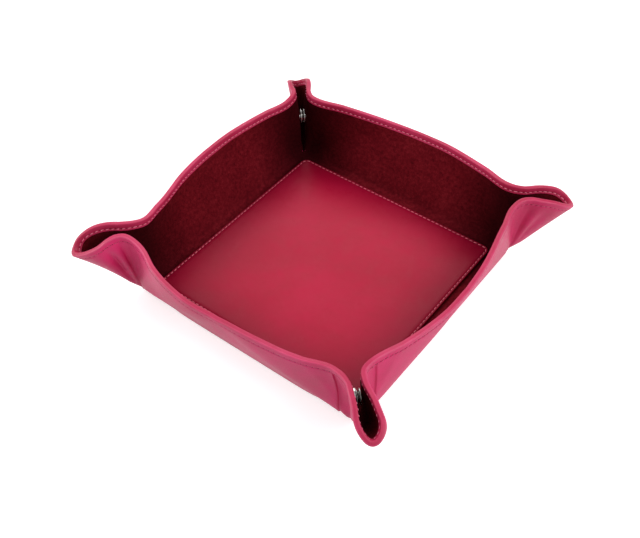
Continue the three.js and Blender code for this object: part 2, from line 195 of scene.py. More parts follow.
def sheet_cone(lean):
    """The sheet round one corner is a cone of rays (across, outward, up), each set by its spread
    across the corner's upright plane and its rise in it. They go from the fold line over the
    wall, flat with its lean, curled upright and drawn into the neck, then round half the ear's
    loop: spread = swell sin(turn) sin(turn/2)^skew + what is left of the pinch. Returned are
    each ray's angle on the flat sheet, its direction and its normal toward the lined side; past
    the ear's tip they are the mirror image."""
    part = np.arange(CURVE_STEPS) / CURVE_STEPS
    rise = between(180.0, NECK_RISE, part)
    tilt = np.radians(between(END_LEAN, lean, smooth(rise, CURL_UNTIL, STRAIGHT_UNTIL)))
    up = np.radians(rise)
    flat = np.arctan(math.sqrt(2) * np.tan(tilt) * np.sin(up) - np.cos(up))
    spread = between(PINCH, flat, smooth(rise, NECK_RISE, NECK_START))
    turn = math.pi * np.linspace(0, 1, CURVE_STEPS + 1)
    travel = (1 - np.cos(turn)) / 2
    swell = EAR_SWELL * np.sin(turn) * np.abs(np.sin(turn / 2)) ** EAR_SKEW
    spread = join([spread, swell + PINCH * (1 - smooth(travel, 0, 1))])
    rise = join([rise, between(NECK_RISE, TIP_RISE, travel)])
    level, up = np.cos(spread), np.radians(rise)
    rays = np.stack([np.sin(spread), level * np.cos(up), level * np.sin(up)], -1)
    steps = np.degrees(np.linalg.norm(np.diff(rays, axis=0), axis=1))
    arc = join([[0.0], np.cumsum(steps)])
    in_ear = np.maximum(arc - EAR_START, 0)
    angle = arc - in_ear + in_ear * (EAR_END - EAR_START) / (arc[-1] - EAR_START)
    ahead = join([rays[1:], rays[-1:]])
    behind = join([rays[:1], rays[:-1]])
    normals = unit(np.cross(rays, ahead - behind))
    mirror = np.array([-1.0, 1.0, 1.0])
    angle = join([angle, 2 * EAR_END - angle[-2::-1]])
    return angle, *(join([table, table[-2::-1] * mirror]) for table in (rays, normals))


CONES = {wall: sheet_cone(lean) for wall, lean in LEAN.items()}

# Each half ear: depth of the embossed crease at that end of its wall, swell of the pouch at the
# corner of the floor, and the soft folds in its leather, as (angle on the sheet, width in
# degrees, height in mm half way up, outward positive).
HALVES = {
    "front_left_f": (0.15, 0.6, [(98.5, 4.5, 1.6), (107.5, 4.2, -2.3), (117, 6, 0.5)]),
    "front_left_l": (0.5, 1.5, [(97, 4, 0.35), (112, 6, -0.4)]),
    "front_right_f": (1, 3.2, [(98, 5, 0.3), (113, 7, -0.3)]),
    "front_right_r": (0.9, 0.8, [(100, 5, 0.3), (112, 6, -0.3)]),
    "back_left_b": (0.5, 1.5, [(101, 4, 0.3), (112, 5, -0.3)]),
    "back_left_l": (0.5, 1.5, [(98, 4, 0.3), (115, 5, -0.3)]),
    "back_right_b": (0.5, 1.5, [(100, 4, 0.3), (114, 5, -0.3)]),
    "back_right_r": (0.35, 1.6, [(96, 3.5, -0.5), (103, 4.5, 0.8), (111, 5, -0.4)]),
}

# Where the made-up tray strays from the plain cones, in millimetres at the rim. Each ear has
# sways (across toward its front or back half, outward, up) at nine places round its loop, two
# have three more that are greatest half way to the rim, and each wall bows at seven places.
SWAY_AT = np.linspace(-48.0, 48.0, 9)  # degrees of the sheet from the tip, front/back half first
SWAY_WIDTH = 9.0
EAR_SWAYS = {
    "front_left": [
        (-1.6, 3, 0.9), (-1.6, 2.4, 1.2), (0.5, -0.4, -1.3),
        (0.8, -2.1, -1.8), (0, -1.9, -0.8), (-0.5, 0.5, 0),
        (-1.2, 0.9, 0.7), (-1.5, 1.4, 1.3), (-1.6, 1.9, 2),
    ],
    "front_right": [
        (2.6, 1.5, 0.3), (-0.1, 1.2, 0.5), (-0.7, 0.9, 0.4),
        (1, 0.8, -0.2), (-0.1, 0.8, -0.4), (-1.2, 1.6, -1.3),
        (1.6, 1.8, -2.4), (2.9, 1.3, -2.8), (2.9, 0.1, -2.3),
    ],
    "back_left": [
        (0, 1, -0.1), (-1.1, 1.3, 0.2), (-0.6, 0.9, 0.1),
        (0.6, -0.1, -0.7), (0, -0.7, -1.4), (-0.2, -0.5, -0.7),
        (0.7, 0.1, 0.6), (0.6, 0.5, 1.6), (0.1, 1, 2.3),
    ],
    "back_right": [
        (0.3, 0.3, 0.8), (-0.3, 0.3, -0.8), (-0.1, 0.3, -0.6),
        (0.7, 0.1, 0.3), (0, -0.5, -0.5), (-0.7, -0.3, -1.1),
        (-0.3, 0.7, -0.2), (0.2, 1.8, 0.6), (0.2, 2.6, 0.1),
    ],
}
RIDGE_AT = np.array([-14.0, 0.0, 14.0])
RIDGE_WIDTH = 10.0
RIDGE_SWAYS = {
    "front_left": [(0.1, -0.2, -0.1), (0, -3.4, 0.6), (-0.9, 1.8, 1.4)],
    "back_right": [(0, 0, 0), (0, 0.8, 1.1), (0, 0, 0)],
}
BOW_AT = np.linspace(-75.0, 75.0, 7)  # millimetres along the wall
BOW_WIDTH = 19.0
WALL_BOWS = {
    "front": (-0.1, 2.6, 1.5, -2.8, -0.7, 2.3, 3.1),
    "back": (0.6, 0.6, 0.5, 1, 2.5, 2, 1.8),
    "left": (-2.2, -3.1, 0.2, 1.2, 2.5, 2.2, 1.4),
    "right": (-0.5, 0.3, 0.3, -1.5, -1, -1.6, -0.2),
}
SWAY_AT_RIM = 0.957  # the smooth step from 0.3 to 1.1 at the rim
POUCH_AT = 11.0  # distance from the corner at which its pouch is greatest
POUCH_WAY = (0.574, 0.574, -0.584)


def sway(wall, end, angle, reach):
    """How far the made-up sheet strays from its cone: sums of humps round the ear's loop that
    grow toward the rim, or are greatest half way to it; humps along the wall; and a pouch that
    fills the corner by s^2 exp(2 - 2s), s = reach / 11, on the side away from the tray."""
    name = corner_name(wall, end)
    sign = 1.0 if wall in STUD_WALLS else -1.0
    across, outward, _ = corner_axes(wall, end)
    axes = np.stack([sign * across, outward, UP])
    place = (sign * (angle - EAR_END))[..., None]
    share = (reach / rim_reach(angle))[..., None]
    grown = smooth(share, 0.3, 1.1) / SWAY_AT_RIM
    moved = hump(place, SWAY_AT, SWAY_WIDTH) @ np.array(EAR_SWAYS[name]) @ axes * grown
    if name in RIDGE_SWAYS:
        halfway = 4 * share * (1 - np.minimum(share, 1))
        moved += hump(place, RIDGE_AT, RIDGE_WIDTH) @ np.array(RIDGE_SWAYS[name]) @ axes * halfway
    x = (end * (FLOOR_HALF - reach * np.cos(np.radians(angle))))[..., None]
    bow = (hump(x, BOW_AT, BOW_WIDTH) @ np.array(WALL_BOWS[wall]))[..., None]
    moved += bow * WALLS[wall][1] * grown
    near = reach / POUCH_AT
    pouch = HALVES[half_name(wall, end)][1] * near**2 * np.exp(2 - 2 * near)
    pouch = pouch * smooth(angle, 20, 65) * (1 - smooth(angle, 95, EAR_END))
    way = POUCH_WAY[0] * across + POUCH_WAY[1] * outward + POUCH_WAY[2] * UP
    return moved + pouch[..., None] * way


def sheet_point(wall, end, angle, reach, depth):
    """Corner + ray(angle) x reach + normal(angle) x depth + sway. The depth thins in proportion
    to reach inside the taper distance; the ears' soft folds go outward along the normal."""
    angle, reach, depth = as_arrays(angle, reach, depth)
    angles, rays, normals = CONES[wall]
    ray, normal = (unit(table_at(angle, angles, table)) for table in (rays, normals))
    taper = np.where(depth > 0, INNER_TAPER, OUTER_TAPER)
    offset = depth * np.minimum(1, reach / taper)
    share = reach / rim_reach(angle)
    grown = smooth(share, 0.1, 0.7) * (1 - 0.9 * smooth(share, 0.65, 1.0))
    for centre, width, height in HALVES[half_name(wall, end)][2]:
        offset = offset - height * hump(angle, centre, width) * grown
    local = ray * reach[..., None] + normal * offset[..., None]
    across, outward, corner = corner_axes(wall, end)
    point = corner + local[..., :1] * across + local[..., 1:2] * outward + local[..., 2:] * UP
    return point + sway(wall, end, angle, reach)


def foot_lift(wall, x, away, reach):
    """The fold under a wall rounds off toward the corners: a shift up and in that comes and
    goes along it by (u/16)^2 exp(1 - (u/16)^2), fading with the distance from the fold."""
    run = ((FLOOR_HALF - np.abs(x)) / FOOT_RUN) ** 2
    rise = FOOT_LIFT * run * np.exp(1 - run) * (1 - smooth(away, 0, reach))
    return rise[..., None] * (UP - 0.6 * WALLS[wall][1])


def wall_point(wall, x, height, depth):
    """The point of a wall at x along its fold line and that height up the sheet; each half
    of the wall is on the cone of its own corner."""
    x, height, depth = as_arrays(x, height, depth)
    inward = FLOOR_HALF - np.abs(x)
    place = (np.degrees(np.arctan2(height, inward)), np.hypot(inward, height), depth)
    return foot_lift(wall, x, height, 10.0) + np.where(
        x[..., None] < 0, sheet_point(wall, -1, *place), sheet_point(wall, 1, *place)
    )


def rim_reach(angle):
    """The rim's distance from the corner: the wall's straight edge, then the round corner."""
    beyond = np.radians(np.asarray(angle, float) - 90)
    centre = WALL_HEIGHT - SHEET_CORNER
    aside = np.radians(np.abs(EAR_END - angle))
    offset = centre * math.sqrt(2)
    curved = offset * np.cos(aside) + np.sqrt(SHEET_CORNER**2 - (offset * np.sin(aside)) ** 2)
    straight = WALL_HEIGHT / np.cos(beyond)
    return np.where(WALL_HEIGHT * np.tan(beyond) <= centre, straight, curved)


def crease_reach(height):
    """How far from the corner the crease of the ear stands, at a height up the sheet."""
    return height / math.tan(math.radians(EAR_START))


# ---- Meshes from arrays ----


def numbered(rows, columns):
    """The numbers of a grid of points, row by row."""
    return np.arange(rows * columns).reshape(rows, columns)


def quads(index):
    """Quads between the neighbours in a grid of point numbers."""
    corners = [index[:-1, :-1], index[:-1, 1:], index[1:, 1:], index[1:, :-1]]
    return np.stack(corners, -1).reshape(-1, 4)


def signed_volume(points, faces):
    """Sum over each face's fan of triangles of a . (b x c) / 6."""
    total = 0.0
    for group in faces:
        a = points[group[:, 0]]
        for k in range(1, group.shape[1] - 1):
            total += np.sum(a * np.cross(points[group[:, k]], points[group[:, k + 1]])) / 6
    return total


def make_piece(name, points, faces, finishes, marks=None, sharp=55):
    """A mesh object from points in millimetres and groups of faces of equal size. The faces
    are turned to enclose a positive volume, and edges sharper than that angle stay sharp."""
    if signed_volume(points, faces) < 0:
        faces = [group[:, ::-1] for group in faces]
    mesh = bpy.data.meshes.new(name)
    mesh.vertices.add(len(points))
    mesh.vertices.foreach_set("co", (points * MM).astype(np.float32).ravel())
    loops = join([group.ravel() for group in faces])
    sizes = join([np.full(len(group), group.shape[1]) for group in faces])
    mesh.loops.add(len(loops))
    mesh.loops.foreach_set("vertex_index", loops.astype(np.int32))
    mesh.polygons.add(len(sizes))
    starts = join([[0], np.cumsum(sizes)[:-1]])
    mesh.polygons.foreach_set("loop_start", starts.astype(np.int32))
    for finish in finishes:
        mesh.materials.append(finish)
    if marks is not None:
        mesh.polygons.foreach_set("material_index", marks.astype(np.int32))
    mesh.update(calc_edges=True)
    mesh.validate()
    mesh.shade_smooth()
    mesh.set_sharp_from_angle(angle=math.radians(sharp))
    piece = bpy.data.objects.new(name, mesh)
    scene.collection.objects.link(piece)
    return piece


def thick_sheet(name, outer, inner, finishes, bands=(), sunk=0):
    """Closed solid between two grids of the same size: each grid is one of its faces, and
    four strips join their edges. From each of the bands' rows on, the outer grid has the next
    finish, and the last sunk columns have the last one on every side."""
    rows, columns = outer.shape[:2]
    count = rows * columns
    index = numbered(rows, columns)
    loop = join([index[0, :-1], index[:-1, -1], index[-1, :0:-1], index[:0:-1, 0]])
    after = np.roll(loop, -1)
    rim = np.stack([after, loop, loop + count, after + count], -1)
    faces = [quads(index), quads(index + count)[:, ::-1], rim]
    points = join([outer.reshape(-1, 3), inner.reshape(-1, 3)])
    marks = np.zeros(sum(len(group) for group in faces), int)
    wide = columns - 1
    for band in bands:
        marks[band * wide : (rows - 1) * wide] += 1
    if sunk:
        both = marks[: 2 * (rows - 1) * wide].reshape(-1, wide)
        both[:, -sunk:] = len(finishes) - 1
        marks[len(both) * wide + wide :][: rows - 1] = len(finishes) - 1
    return make_piece(name, points, faces, finishes, marks)


def ringed(rings):
    """Points and faces of a closed surface through rings of points, with a pole at the
    middle of the first ring and of the last."""
    rows, columns = rings.shape[:2]
    index = numbered(rows, columns)
    wrapped = join([index, index[:, :1]], 1)
    first, last = rows * columns, rows * columns + 1
    low = np.stack([wrapped[0, 1:], wrapped[0, :-1], np.full(columns, first)], -1)
    high = np.stack([wrapped[-1, :-1], wrapped[-1, 1:], np.full(columns, last)], -1)
    points = join([rings.reshape(-1, 3), [rings[0].mean(0)], [rings[-1].mean(0)]])
    return points, [quads(wrapped), join([low, high])]


def lens(radii, steepest, rows, sides):
    """Rings round a flattened ball: radii times (cos a cos t, cos a sin t, sin a), with a from
    -steepest to steepest degrees and t once round."""
    a = np.radians(np.linspace(-steepest, steepest, rows))[:, None]
    t = np.linspace(0, 2 * math.pi, sides, endpoint=False)
    return np.stack([np.cos(a) * np.cos(t), np.cos(a) * np.sin(t), np.sin(a) + 0 * t], -1) * radii


# ---- Finishes ----


class Wire:
    """A node's output. Arithmetic on it adds Math nodes."""

    def __init__(self, finish, socket):
        self.finish, self.socket = finish, socket

    def math(self, operation, first, second=0.0):
        return self.finish.node("Math", {"operation": operation}, {0: first, 1: second})

    def __add__(self, other):
        return self.math("ADD", self, other)

    def __sub__(self, other):
        return self.math("SUBTRACT", self, other)

    def __rsub__(self, other):
        return self.math("SUBTRACT", other, self)

    def __mul__(self, other):
        return self.math("MULTIPLY", self, other)

    __radd__ = __add__
    __rmul__ = __mul__


class Finish:
    """A material with one Principled shader, and one method that adds any other node."""

    def __init__(self, name, **constants):
        self.material = bpy.data.materials.new(name)
        self.material.use_nodes = True
        self.tree = self.material.node_tree
        self.shader = next(n for n in self.tree.nodes if n.type == "BSDF_PRINCIPLED")
        for socket, value in constants.items():
            self.shader.inputs[socket.replace("_", " ")].default_value = value

    def node(self, kind, settings=None, inputs=None, output=0):
        """Adds a node: its settings first, then a value or a wire for each socket."""
        made = self.tree.nodes.new(f"ShaderNode{kind}")
        for key, value in (settings or {}).items():
            if key == "stops":
                ramp = made.color_ramp.elements
                for i, (place, colour) in enumerate(value):
                    element = ramp[i] if i < 2 else ramp.new(place)
                    element.position, element.color = place, srgb(*colour)
            else:
                setattr(made, key, value)
        for key, value in (inputs or {}).items():
            if isinstance(value, Wire):
                self.tree.links.new(value.socket, made.inputs[key])
            else:
                made.inputs[key].default_value = value
        return Wire(self, made.outputs[output])

    def feed(self, socket, wire):
        self.tree.links.new(wire.socket, self.shader.inputs[socket])

    def vector(self, operation, first, second=(0.0, 0.0, 0.0), output="Vector"):
        """Vector arithmetic."""
        return self.node("VectorMath", {"operation": operation}, {0: first, 1: second}, output)

    def coordinates(self):
        return self.node("TexCoord", output="Object")

    def noise(self, where, size, detail=3.0, roughness=0.55):
        """Noise with features about that many millimetres across."""
        look = {"Scale": 0.6 / (size * MM), "Detail": detail, "Roughness": roughness}
        return self.node("TexNoise", {}, {"Vector": where, **look})

    def pebbles(self, where, size):
        """Cells about that many millimetres across: 0 in the furrows between them."""
        cells = {"Vector": where, "Scale": 1 / (size * MM), "Randomness": 1.0}
        return self.node("TexVoronoi", {"feature": "DISTANCE_TO_EDGE"}, cells)

    def ramp(self, wire, *stops):
        """Colour by a value, from (place, display colour) stops."""
        return self.node("ValToRGB", {"stops": stops}, {"Fac": wire}, "Color")

    def mix(self, share, first, second):
        """Colour mix."""
        return self.node("Mix", {"data_type": "RGBA"}, {0: share, 6: first, 7: second}, 2)

    def span(self, wire, low, high, to_low=0.0, to_high=1.0):
        """wire from low..high to to_low..to_high, clamped."""
        return self.node("MapRange", {}, {0: wire, 1: low, 2: high, 3: to_low, 4: to_high})

    def relief(self, wire, distance, strength=1.0):
        """Bump of that many millimetres, fed to the shader's normal."""
        look = {"Strength": strength, "Distance": distance * MM, "Height": wire}
        self.feed("Normal", self.node("Bump", {}, look))


def srgb(red, green, blue):
    """Linear colour, with alpha, of an 8-bit display colour."""
    c = np.array([red, green, blue]) / 255
    linear = np.where(c <= 0.04045, c / 12.92, ((c + 0.055) / 1.055) ** 2.4)
    return (*(float(v) for v in linear), 1.0)


def leather(name, deep, plain, worn, roughness, pebble, relief, shine, painted_shade_start=None):
    """Corrected-grain leather: colour drifts between a deep and a worn tone in clouds, the
    furrows of the grain are deeper and duller, and fine pores roughen it. Past a given distance
    (m) from the tray's middle a painted shade darkens the leather toward the walls, standing in
    for the shade that the walls cast on the floor."""
    finish = Finish(name, IOR=1.46, Specular_IOR_Level=shine)
    place = finish.coordinates()
    clouds = finish.noise(place, 34.0, 2.0, 0.5)
    blotches = finish.noise(place, 5.0, 2.0)
    grain = finish.pebbles(place, pebble)
    pores = finish.noise(place, 0.22, 2.0)
    wander = finish.noise(place, 2.4, 3.0)
    tone = finish.span(clouds * 0.65 + blotches * 0.35, 0.36, 0.64)
    colour = finish.ramp(tone, (0.0, deep), (0.55, plain), (1.0, worn))
    furrow = finish.span(grain, 0.0, 0.16)
    colour = finish.mix(finish.span(furrow, 0.0, 1.0, 0.16, 0.0), colour, srgb(*deep))
    # Painted shade: the colour is drawn toward a darker deep tone near the walls, as the walls'
    # shade would make it.
    if painted_shade_start:
        squared = finish.vector("MULTIPLY", place, (1.0, 1.0, 0.0))
        for _ in range(2):
            squared = finish.vector("MULTIPLY", squared, squared)
        away = finish.vector("LENGTH", squared, output="Value")
        edge = finish.span(away, painted_shade_start**4, (PANEL_HALF * MM) ** 4, 0.0, 0.72)
        colour = finish.mix(edge, colour, srgb(*(0.72 * c for c in deep)))
    finish.feed("Base Color", colour)
    dull_or_shaded = finish.span(blotches + pores * 0.5, 0.4, 1.1, roughness - 0.05, roughness + 0.07)
    finish.feed("Roughness", dull_or_shaded + (1 - furrow) * 0.07)
    finish.relief(furrow * 0.5 + pores * 0.35 + wander * 0.8, relief)
    return finish.material


def suede(name, shadow, nap, light):
    """Microfibre suede: matt, with brushed patches where the nap lies lighter or darker, short
    fibres that catch light at grazing angles, and a painted shade, nearly black, toward the
    gathered corners of the tray and inside the ears above them."""
    sheen = {"Sheen_Weight": 0.08, "Sheen_Roughness": 0.4, "Sheen_Tint": srgb(190, 60, 70)}
    finish = Finish(name, Roughness=0.95, Specular_IOR_Level=0.03, **sheen)
    place = finish.coordinates()
    brushed = finish.noise(place, 17.0, 3.0, 0.62)
    fibres = finish.noise(place, 0.3, 3.0, 0.7)
    tufts = finish.noise(place, 1.3, 3.0, 0.6)
    tone = finish.span(brushed * 0.2 + tufts * 0.4 + fibres * 0.55, 0.42, 0.74)
    colour = finish.ramp(tone, (0.0, shadow), (0.5, nap), (1.0, light))
    # Painted shade: within 12 to 50 mm of each corner, measured level, the suede is drawn toward
    # near black, for the shade in the corners and inside the ears.
    level = finish.vector("MULTIPLY", finish.vector("ABSOLUTE", place), (1.0, 1.0, 0.0))
    gap = finish.vector("DISTANCE", level, (FLOOR_HALF * MM, FLOOR_HALF * MM, 0.0), output="Value")
    corner_shade = finish.span(gap, 0.012, 0.05, 0.8, 0.0)
    finish.feed("Base Color", finish.mix(corner_shade, colour, srgb(20, 1, 3)))
    finish.relief(fibres * 0.7 + tufts * 0.6, 0.16, 0.9)
    return finish.material


def mottled(name, low, high, size, detail, rough=0.55, relief=0.0, ends=(0.3, 0.7), **constants):
    """A finish mottled between two tones by noise of that size, which also gives its relief."""
    finish = Finish(name, **constants)
    specks = finish.noise(finish.coordinates(), size, detail, rough)
    finish.feed("Base Color", finish.ramp(specks, (ends[0], low), (ends[1], high)))
    if relief:
        finish.relief(specks, relief)
    return finish.material


def thread(name, valley, crest):
    """Waxed thread: fine plies that darken between them."""
    plies = {"relief": 0.05, "ends": (0.35, 0.65), "Roughness": 0.5, "Sheen_Weight": 0.1}
    return mottled(name, valley, crest, 0.28, 2.0, **plies)


def nickel(name, low, high):
    """Nickel plate with faint handling marks and a slight bloom."""
    finish = Finish(name, Metallic=0.85)
    place = finish.coordinates()
    bloom = finish.noise(place, 3.0, 3.0)
    marks = finish.noise(place, 0.25, 4.0, 0.7)
    finish.feed("Base Color", finish.ramp(bloom, (0.3, low), (0.7, high)))
    finish.feed("Roughness", finish.span(bloom * 0.6 + marks * 0.4, 0.3, 0.7, 0.22, 0.34))
    finish.relief(marks, 0.01)
    return finish.material


# Each leather: deep, plain and worn tones; roughness, grain (mm), relief (mm), shine.
OUTER = leather(
    "outer_leather", (184, 22, 80), (199, 30, 93), (210, 38, 103), 0.44, 0.95, 0.05, 0.36
)
# The edge band over the rim's crest is a lighter tone of the outer leather: partly a burnished
# edge, partly a painted highlight.
BURNISHED_EDGE_HIGHLIGHT = leather("edge_leather_highlight", (186, 44, 86), (198, 54, 98), (208, 66, 110), 0.4, 0.95, 0.03, 0.5)
HEM = leather("hem_leather", (170, 26, 66), (182, 36, 78), (193, 46, 90), 0.44, 0.95, 0.05, 0.42)
# The floor panel carries a painted shade that darkens it toward the walls.
PANEL = leather(
    "floor_leather", (164, 8, 46), (171, 11, 51), (177, 15, 56), 0.28, 0.8, 0.02, 0.09, painted_shade_start=0.04
)
SUEDE = suede("burgundy_suede", (66, 6, 14), (99, 14, 24), (126, 30, 39))
OUTER_THREAD = thread("outer_thread", (172, 30, 78), (206, 62, 112))
HEM_THREAD = thread("hem_thread", (206, 78, 112), (240, 138, 162))
PANEL_THREAD = thread("panel_thread", (186, 60, 84), (222, 112, 128))
# Painted shade: the dark tones of a needle hole's lens stand in for the shade inside the hole.
HOLE_SHADE = mottled("needle_hole_shade", (52, 3, 16), (84, 8, 28), 0.4, 2.0, Roughness=0.9)
NICKEL = nickel("nickel_plate", (232, 230, 225), (248, 247, 243))
# Painted shade: the same plate in dark tones, for the inner rings of the press studs that lie in
# shade in the gap between the parts.
SHADED_NICKEL = nickel("shaded_nickel", (84, 80, 76), (104, 100, 95))
BOARD = mottled(
    "stiffening_board", (128, 110, 88), (172, 154, 128), 0.8, 4.0, 0.7, relief=0.05, Roughness=0.9
)

# ---- Outer leather over the walls and ears ----


def groove(drop, line):
    """The furrow that a stitch line pulls into the leather."""
    return GROOVE_DEPTH * hump(drop, line, GROOVE_WIDTH)


def rim_profile():
    """The leather's section from its foot to the hem's edge: the share of the height below the
    rim zone, then (height in that zone, depth) for the outer face and for the hidden one. Up
    the outside, over the rim on the curve |sin|^0.55, |cos|^0.55 (a flat top with round
    corners), down the hem, and round its cut edge."""
    share = np.linspace(0, 1, FACE_ROWS)
    lift = join([np.linspace(0.6, 3.0, 5), np.linspace(3.25, 4.9, 9), [5.5, 6.3]])
    turn = np.radians(np.linspace(-90, 90, 17))
    over = np.sign(turn) * np.abs(np.sin(turn)) ** RIM_CURVE
    rise = np.abs(np.cos(turn)) ** RIM_CURVE
    top, inside = RIM_ZONE - RIM_ROUND, RIM_ROUND - HEM_DEPTH
    hem = join([[5.8], np.linspace(5.3, 3.7, 9), [3.45, 3.2]])
    edge = np.radians(np.linspace(90, 0, 5))
    foot = RIM_ZONE - HEM_WIDTH + HEM_LIP
    back = -HALF_THICK * LEATHER_SHARE
    stages = (
        (0 * share, 0 * share - HALF_THICK, 0 * share, 0 * share + back),
        (lift, groove(RIM_ZONE - lift, OUTER_STITCH) - HALF_THICK, lift, 0 * lift + back),
        (top + RIM_ROUND * rise, HALF_THICK * over, top + inside * rise, 0.15 + 0.75 * over),
        (hem, HALF_THICK - groove(RIM_ZONE - hem, INNER_STITCH), hem, 0 * hem + HEM_DEPTH),
        (
            foot - HEM_LIP * np.cos(edge),
            HALF_THICK - HEM_LIP + HEM_LIP * np.sin(edge),
            0 * edge + foot - 0.1,
            0 * edge + HEM_DEPTH,
        ),
    )
    columns = [join(column) for column in zip(*stages)]
    whole = join([share, np.ones(len(columns[0]) - FACE_ROWS)])
    return whole, columns[:2], columns[2:]


def wall_columns():
    """Places across a wall: a share of the flat middle up to the embossed crease, and a share
    of the rest up to the ear; closer together toward the crease and the ear."""
    middle = join([np.linspace(0, 0.95, 48), np.linspace(0.955, 1.0, 10)])
    rest = np.linspace(0, 1, 20)[1:]
    right = join([middle, np.ones(len(rest))])
    end = join([0 * middle, rest])
    return join([-right[:0:-1], right]), join([end[:0:-1], end])


SHARES, ENDS = wall_columns()


def wall_x(gap):
    """x of each column where the ear begins that far from the corner: its share of the
    embossed crease's place, and its share of what is left."""
    return SHARES * between(CREASE_AT, FLOOR_HALF - gap, ENDS)


def crease_sink(wall, x, height):
    """The crease pressed in at the board's end: a steep step on the board's side, then the
    loose leather rises again toward the ear."""
    aside = np.abs(x)
    cut = smooth(aside, CREASE_AT - 0.7, CREASE_AT) - smooth(aside, CREASE_AT + 0.3, CREASE_AT + 7)
    fade = smooth(height, 0.5, 4) * (1 - smooth(height, *CREASE_TOP))
    low, high = (HALVES[half_name(wall, end)][0] for end in (-1, 1))
    return np.where(x < 0, low, high) * cut * fade


def base_offset(reach):
    """Distance of the underside from the sheet's middle, falling to nothing at a corner."""
    return HALF_THICK * np.sin(math.pi / 2 * np.minimum(1, reach / 6))


def wall_grid(wall, whole, up_zone, depth, hidden):
    """Points of one face of a wall's leather: the strip under the floor, an arc about the
    fold line, then the face itself."""
    scale = LEATHER_SHARE if hidden else 1.0
    rows = []
    for inside in (UNDER_STRIP, 4.5, 3.0, 1.5, 0.6, 0.0):
        x = wall_x(max(inside, CORNER_CLEAR))
        drop = base_offset(np.hypot(FLOOR_HALF - np.abs(x), inside)) * scale
        lift = foot_lift(wall, x, inside, UNDER_STRIP)
        rows.append(level_point(wall, x, inside, HALF_THICK - drop) + lift)
    foot = wall_x(CORNER_CLEAR)
    aside = FLOOR_HALF - np.abs(foot)
    low = base_offset(aside) * scale
    high = HALF_THICK * np.minimum(1, aside / OUTER_TAPER) * scale
    fold = level_point(wall, foot, 0.0, HALF_THICK) + foot_lift(wall, foot, 0.0, 1.0)
    wall_way = unit(wall_point(wall, foot, 0 * foot, -1.0) - fold)
    for turn in np.linspace(0, 1, 9)[1:-1]:
        way = unit(between(-UP, wall_way, turn))
        rows.append(fold + way * between(low, high, turn)[:, None])
    height = (whole * (WALL_HEIGHT - RIM_ZONE) + up_zone)[:, None]
    x = wall_x(np.maximum(crease_reach(height), CORNER_CLEAR))
    sunk = depth[:, None]
    if not hidden:
        sunk = sunk + np.where(sunk < 0, crease_sink(wall, x, height), 0)
    return join([np.stack(rows), wall_point(wall, x, height, sunk)])


def wall_skin(wall):
    """The outer leather of one wall with its rim and hem."""
    whole, outside, hidden = rim_profile()
    outer = wall_grid(wall, whole, *outside, False)
    inner = wall_grid(wall, whole, *hidden, True)
    # From the first band the rim takes the lighter edge finish, burnished and with a painted
    # highlight; from the second, the hem.
    bands = [len(outer) - len(whole) + row for row in RIM_BANDS]
    return thick_sheet(f"wall_skin_{wall}", outer, inner, [OUTER, BURNISHED_EDGE_HIGHLIGHT, HEM], bands)


def ear_columns(wall, end):
    """Columns across half an ear, closer together toward its tip fold, then its flap: angle,
    run past the tip fold in mm, and share of the full thickness kept."""
    angles = join([np.linspace(EAR_START, 128, 46), np.linspace(128.6, EAR_END, 14)])
    flap = FLAP.get(corner_name(wall, end), FLAP_PLAIN)
    extra = join([0 * angles, np.linspace(0.05, 1, 4) * flap])
    angles = join([angles, np.full(4, EAR_END)])
    return angles, extra, np.where(extra > 0, FLAP_SUNK, 1.0)


def past_tip(angles, extra, reach):
    """Angles with the flap's run past the tip fold added, narrower toward the corner."""
    return angles + np.degrees(extra * np.minimum(1, reach / FLAP_GROWN) / reach)


def ear_grid(wall, end, whole, lift, depth):
    """Points of one face of half an ear: along each ray, up to the rim of the round corner."""
    angles, extra, keep = ear_columns(wall, end)
    full = rim_reach(angles) - (1 - keep) * 0.5
    reach = between(CORNER_CLEAR, full - RIM_ZONE, whole[:, None]) + lift[:, None]
    return sheet_point(wall, end, past_tip(angles, extra, reach), reach, depth[:, None] * keep)


def ear_skin(wall, end):
    """The outer leather of half an ear with its rim and hem, and suede on its flap."""
    whole, *sections = rim_profile()
    faces = [ear_grid(wall, end, whole, *section) for section in sections]
    # The second finish is the lighter edge band: burnished, with a painted highlight.
    finishes = [OUTER, BURNISHED_EDGE_HIGHLIGHT, HEM, SUEDE]
    return thick_sheet(f"ear_skin_{half_name(wall, end)}", *faces, finishes, RIM_BANDS, sunk=3)


# ---- Suede lining ----


def tuck(height, top):
    """How far the lining sinks under the hem, over half a millimetre below its top."""
    return LINING_TUCK * smooth(height, top - 0.9, top - 0.4)


